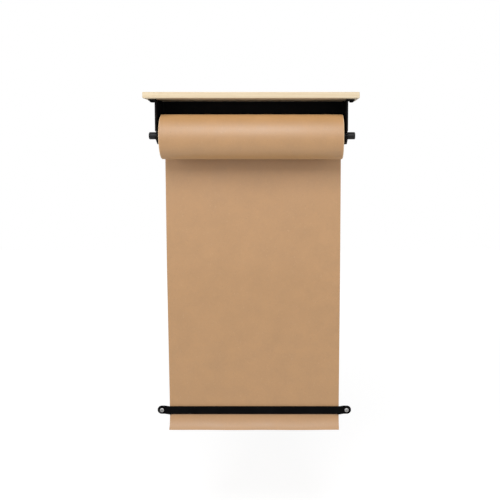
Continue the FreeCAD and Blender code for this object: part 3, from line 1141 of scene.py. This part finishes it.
@dataclass
class PaperRoll:
    """The wound paper, its layers stepping a little at both ends, and its cardboard core."""

    effects: Effects
    around: int = 160
    layers: int = 34
    end_step: float = 0.16 * MM
    bore_radius: float = 8.05 * MM
    rim_rounding: float = 1.8 * MM
    rim_clearance: float = 1.15

    def build(self) -> None:
        """Build the wound paper and dress it and its core."""
        low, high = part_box("paper_roll")
        centre = (low + high) / 2
        radius = (high.z - low.z) / 2
        kraft = KraftPaper(self.effects, "kraft_roll", True, centre.y, centre.z)
        roll = self.wound(low.x, high.x, centre, radius)
        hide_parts("paper_roll")
        settle(roll, Body.ROLL, kraft.material)
        dress_node("core_tube", CoreBoard(self.effects, centre.y, centre.z).material)

    def wound(self, left: float, right: float, centre: Vector, radius: float) -> Piece:
        """Wind the roll: a tube whose ends step in and out from layer to layer.

        Args:
            left: X of the left end.
            right: X of the right end.
            centre: Middle of the roll.
            radius: Outer radius.

        Returns:
            The closed roll.
        """
        Bench.clear()
        bpy.ops.mesh.primitive_cylinder_add(
            vertices=self.around, radius=radius, depth=right - left, end_fill_type="NOTHING",
            location=centre, rotation=(0, math.pi / 2, 0))
        roll = Bench.named("wound_paper")
        draw = random.Random(41)
        with Bench.editing(roll):
            for end in Side:
                x = left if end is Side.LEFT else right
                Bench.pick_edges(
                    roll, lambda a, b: same(a.x, x, ROUND_NEAR) and same(b.x, x, ROUND_NEAR))
                now = radius
                out = 0.0
                inside = radius - self.rim_rounding * self.rim_clearance
                for layer in range(self.layers):
                    target = inside - (inside - self.bore_radius) * layer / (self.layers - 1)
                    next_out = -draw.random() * self.end_step
                    bpy.ops.mesh.extrude_edges_move(TRANSFORM_OT_translate={"value": (0, 0, 0)})
                    share = target / now
                    bpy.ops.transform.resize(
                        value=(1.0, share, share), center_override=(x, centre.y, centre.z))
                    bpy.ops.transform.translate(value=(end.value * (next_out - out), 0, 0))
                    now, out = target, next_out
            Bench.pick_edges(roll, lambda a, b: self.at_radius((a, b), centre, self.bore_radius))
            bpy.ops.mesh.bridge_edge_loops()
            bpy.ops.mesh.select_all(action="SELECT")
            bpy.ops.mesh.normals_make_consistent(inside=False)
            Bench.pick_edges(
                roll, lambda a, b: same(a.x, b.x) and self.at_radius((a, b), centre, radius))
            bpy.ops.mesh.bevel(offset=self.rim_rounding, segments=5, affect="EDGES")
        Bench.smooth(roll, 40)
        return roll

    @staticmethod
    def at_radius(ends: tuple[Vector, Vector], centre: Vector, radius: float) -> bool:
        """Whether both ends of an edge lie at this radius from the roll's axis."""
        return all(same(math.hypot(end.y - centre.y, end.z - centre.z), radius, ROUND_NEAR)
                   for end in ends)


@dataclass
class SheetLine:
    """The hanging paper seen from its side, followed from the roll down to its free edge."""

    roll_y: float
    roll_z: float
    roll_radius: float
    bar_z: float
    bar_half_height: float
    wrap_degrees: float = 28.0
    paper_lift: float = 0.12 * MM
    behind_bar_y: float = -3.0 * MM
    knee_z: float = -250.9 * MM
    knee_radius: float = 0.9
    entry_rise: float = 10.0 * MM
    entry_radius: float = 0.18
    tail_radius: float = 34.0 * MM
    tail_degrees: float = 48.0

    def __post_init__(self) -> None:
        """Work out the runs and bends."""
        wrap = math.radians(self.wrap_degrees)
        radius = self.roll_radius + self.paper_lift
        entry_z = self.bar_z + self.bar_half_height + self.entry_rise
        lean_run = self.knee_z - entry_z
        lean_reach = self.behind_bar_y - (self.roll_y + radius)
        lean = math.atan2(lean_reach, lean_run)
        knee_reach = self.knee_radius * math.tan(lean / 2)
        entry_reach = self.entry_radius * math.tan(lean / 2)
        bar_low = self.bar_z - self.bar_half_height
        tail = math.radians(self.tail_degrees)
        self.start = (
            self.roll_y + radius * math.cos(wrap), self.roll_z + radius * math.sin(wrap), wrap)
        self.runs = [
            (radius * wrap, -wrap),
            (self.roll_z - self.knee_z - knee_reach, 0.0),
            (self.knee_radius * lean, lean),
            (math.hypot(lean_run, lean_reach) - knee_reach - entry_reach, 0.0),
            (self.entry_radius * lean, -lean),
            (entry_z - entry_reach - bar_low, 0.0),
            (self.tail_radius * tail, -tail),
        ]
        self.length = sum(length for length, turn in self.runs)
        self.bar_length = self.length - self.tail_radius * tail - self.bar_half_height

    def at(self, length: float) -> Triple:
        """Place on the line.

        Args:
            length: Distance along the paper from its start on the roll.

        Returns:
            Y, Z and the heading, which is 0 straight down and positive towards the wall.
        """
        y, z, heading = self.start
        for run, turn in self.runs:
            part = min(run, length)
            if turn == 0:
                y += part * math.sin(heading)
                z -= part * math.cos(heading)
            else:
                radius = run / turn
                ahead = heading + part / radius
                y += radius * (math.cos(heading) - math.cos(ahead))
                z -= radius * (math.sin(ahead) - math.sin(heading))
                heading = ahead
            length -= part
            if length <= 0:
                break
        return y, z, heading


@dataclass
class HangingPaper:
    """The sheet between roll and bar, and the tail below the bar, which in use moves as paper is
    fed; here neither part is attached to a body.
    """

    effects: Effects
    thickness: float = 0.2 * MM
    row_step: float = 2.6 * MM
    columns: int = 60
    buckle: float = 0.55 * MM
    edge_lift: float = 0.35 * MM
    tail_wave: float = 0.7 * MM
    fewest_rows: int = 24
    loose_from: float = 0.05
    loose_by: float = 0.16
    held_from: float = 0.12
    held_by: float = 0.02
    tail_from: float = 0.010
    waves: tuple[tuple[float, float, float, float], ...] = (
        (1.0, 2.1, 0.6, 3.0), (0.5, 4.3, -1.1, -5.0))  # height, waves across, start, drift
    tail_ripple: Triple = (0.5, 2.6, 0.4)  # height, waves across, start

    def build(self) -> None:
        """Build and dress both parts of the sheet."""
        roll_low, roll_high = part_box("paper_roll")
        bar_low, bar_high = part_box("tear_bar")
        self.half_width = (roll_high.x - roll_low.x) / 2
        self.line = SheetLine(
            (roll_low.y + roll_high.y) / 2, (roll_low.z + roll_high.z) / 2,
            (roll_high.z - roll_low.z) / 2,
            (bar_low.z + bar_high.z) / 2, (bar_high.z - bar_low.z) / 2)
        kraft = KraftPaper(self.effects, "kraft_sheet", False)
        seam = self.line.bar_length
        seam_y, seam_z, heading = self.line.at(seam)
        hanging = self.piece("hanging_sheet", 0.0, seam, kraft.material)
        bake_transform(hanging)
        tail = self.piece("paper_tail", seam, self.line.length, kraft.material)
        self.line.at(self.line.length)[1]
        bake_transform(tail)

    def piece(self, name: str, start: float, end: float, material: Material) -> Piece:
        """One part of the sheet, bent along the line from a flat grid.

        Args:
            name: Name of the part.
            start: Where on the line it begins.
            end: Where it ends.
            material: Its material.

        Returns:
            The finished part.
        """
        rows = max(self.fewest_rows, round((end - start) / self.row_step))
        Bench.clear()
        bpy.ops.mesh.primitive_grid_add(x_subdivisions=self.columns, y_subdivisions=rows, size=1)
        bpy.ops.transform.resize(value=(2 * self.half_width, end - start, 1))
        bpy.ops.transform.translate(value=(0, (start + end) / 2, 0))
        piece = Bench.named(name)
        for vertex in piece.data.vertices:
            vertex.co = self.place(vertex.co.x, vertex.co.y)
        with Bench.editing(piece):
            bpy.ops.mesh.select_all(action="SELECT")
            bpy.ops.mesh.flip_normals()
        Bench.apply(piece, "SOLIDIFY", thickness=self.thickness, offset=0.0)
        Bench.smooth(piece, 50)
        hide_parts("paper_sheet")
        dress(piece, material)
        log.info("%s: %d faces", name, len(piece.data.polygons))
        return piece

    def place(self, across: float, length: float) -> Vector:
        """Where a point of the flat sheet hangs.

        Args:
            across: Distance from the middle of the sheet.
            length: Distance along the line.

        Returns:
            The point, with the sheet's slight buckles.
        """
        y, z, heading = self.line.at(length)
        share = across / self.half_width
        bar = self.line.bar_length
        loose = self.swell(length, self.loose_from, self.loose_by)
        held = self.swell(length, bar - self.held_from, bar - self.held_by)
        waves = sum(height * math.sin(turns * share * math.pi + start + drift * length)
                    for height, turns, start, drift in self.waves)
        out = loose * (1 - held) * (self.buckle * waves - self.edge_lift * share ** 6)
        below = self.swell(length, bar + self.tail_from, self.line.length)
        height, turns, start = self.tail_ripple
        ripple = height * math.sin(turns * share * math.pi + start)
        out -= below * self.tail_wave * (ripple + share ** 4)
        return Vector((across, y + out * math.cos(heading), z + out * math.sin(heading)))

    @staticmethod
    def swell(value: float, low: float, high: float) -> float:
        """Smooth rise from 0 at low to 1 at high."""
        share = min(1.0, max(0.0, (value - low) / (high - low)))
        return share * share * (3 - 2 * share)


@dataclass(frozen=True)
class Lamp:
    """A soft rectangular lamp that is aimed at the object."""

    name: str
    place: Triple
    width: float
    height: float
    power: float


@dataclass
class Studio:
    """White surroundings, a pale floor, three wide soft lamps and the camera."""

    floor_z: float = -0.80
    floor_size: float = 9.0
    floor_grey: float = 0.80
    near_glow: float = 0.42
    far_glow: float = 0.62
    near_reach: float = 0.6
    far_reach: float = 2.6
    ambient: float = 0.51
    white: Colour = (1.0, 1.0, 1.0, 1.0)
    lamps: tuple[Lamp, ...] = (
        Lamp("front_lamp", (-0.05, -1.15, 0.74), 0.7, 0.7, 10.4),
        Lamp("left_lamp", (-1.10, -0.55, 0.22), 0.6, 0.7, 5.4),
        Lamp("right_lamp", (1.10, -0.55, 0.22), 0.6, 0.7, 3.8),
    )
    aim: Triple = (0.0, -0.03, -0.12)
    lens: float = 55.55
    shift: tuple[float, float] = (-0.0687, -0.050)
    eye: Triple = (0.0534, -1.3364, -0.0378)
    look_down_degrees: float = 5.54

    def build(self) -> None:
        """Set up the surroundings, the lamps and the camera."""
        self.surroundings()
        self.floor()
        for lamp in self.lamps:
            self.hang(lamp)
        self.camera()
        bpy.context.scene.view_settings.view_transform = "Standard"

    def surroundings(self) -> None:
        """White to the camera and in reflections, a plain grey light on everything else."""
        world = bpy.data.worlds.new("surroundings")
        bpy.context.scene.world = world
        world.use_nodes = True
        nodes = Nodes(world.node_tree)
        path = nodes.add("LightPath")
        direct = nodes.math("MAXIMUM", path.outputs["Is Camera Ray"], path.outputs["Is Glossy Ray"])
        seen = nodes.math("MAXIMUM", direct, path.outputs["Is Transmission Ray"])
        light = nodes.add("Background", {"Color": self.white, "Strength": self.ambient})
        white = nodes.add("Background", {"Color": self.white, "Strength": 1.0})
        mixed = nodes.add("MixShader", {0: seen, 1: light.outputs[0], 2: white.outputs[0]})
        nodes.add("OutputWorld", {"Surface": mixed.outputs[0]})

    def floor(self) -> None:
        """Pale floor below the longest sheet, which glows to the camera to meet the white."""
        Bench.clear()
        bpy.ops.mesh.primitive_plane_add(size=self.floor_size, location=(0, 0, self.floor_z))
        floor = Bench.named("studio_floor")
        material = bpy.data.materials.new("pale_floor")
        material.use_nodes = True
        nodes = Nodes(material.node_tree)
        path = nodes.add("LightPath")
        place = nodes.add("TexCoord").outputs["Object"]
        reach = nodes.add("VectorMath", {0: place}, operation="LENGTH").outputs["Value"]
        glow = nodes.spread(reach, self.near_reach, self.far_reach, self.near_glow, self.far_glow)
        seen = nodes.times(path.outputs["Is Camera Ray"], glow)
        grey = (self.floor_grey, self.floor_grey, self.floor_grey, 1.0)
        shader = nodes.add("BsdfPrincipled", {
            "Base Color": grey, "Roughness": 0.9, "Specular IOR Level": 0.0,
            "Emission Color": self.white, "Emission Strength": seen})
        nodes.add("OutputMaterial", {"Surface": shader.outputs[0]})
        dress(floor, material)

    def hang(self, lamp: Lamp) -> None:
        """Hang one lamp and aim it.

        Args:
            lamp: The lamp.
        """
        data = bpy.data.lights.new(lamp.name, "AREA")
        data.shape = "RECTANGLE"
        data.size, data.size_y = lamp.width, lamp.height
        data.energy = lamp.power
        fitting = bpy.data.objects.new(lamp.name, data)
        bpy.context.scene.collection.objects.link(fitting)
        fitting.visible_camera = False
        fitting.location = lamp.place
        towards = Vector(self.aim) - Vector(lamp.place)
        fitting.rotation_euler = towards.to_track_quat("-Z", "Y").to_euler()

    def camera(self) -> None:
        """The photograph's point of view."""
        data = bpy.data.cameras.new("photo_camera")
        data.sensor_width = 36.0
        data.lens = self.lens
        data.shift_x, data.shift_y = self.shift
        data.clip_end = 50.0
        camera = bpy.data.objects.new("photo_camera", data)
        bpy.context.scene.collection.objects.link(camera)
        camera.location = self.eye
        camera.rotation_euler = (math.radians(90 - self.look_down_degrees), 0, 0)
        bpy.context.scene.camera = camera


def main() -> None:
    """Build every sub-assembly in order."""
    logging.basicConfig(level=logging.INFO, format="%(message)s")
    effects = Effects()
    BracketAndShelf(effects).build()
    TearBar(effects).build()
    RodAndCaps(effects).build()
    PaperRoll(effects).build()
    HangingPaper(effects).build()
    Studio().build()


if __name__ == "__main__":
    main()
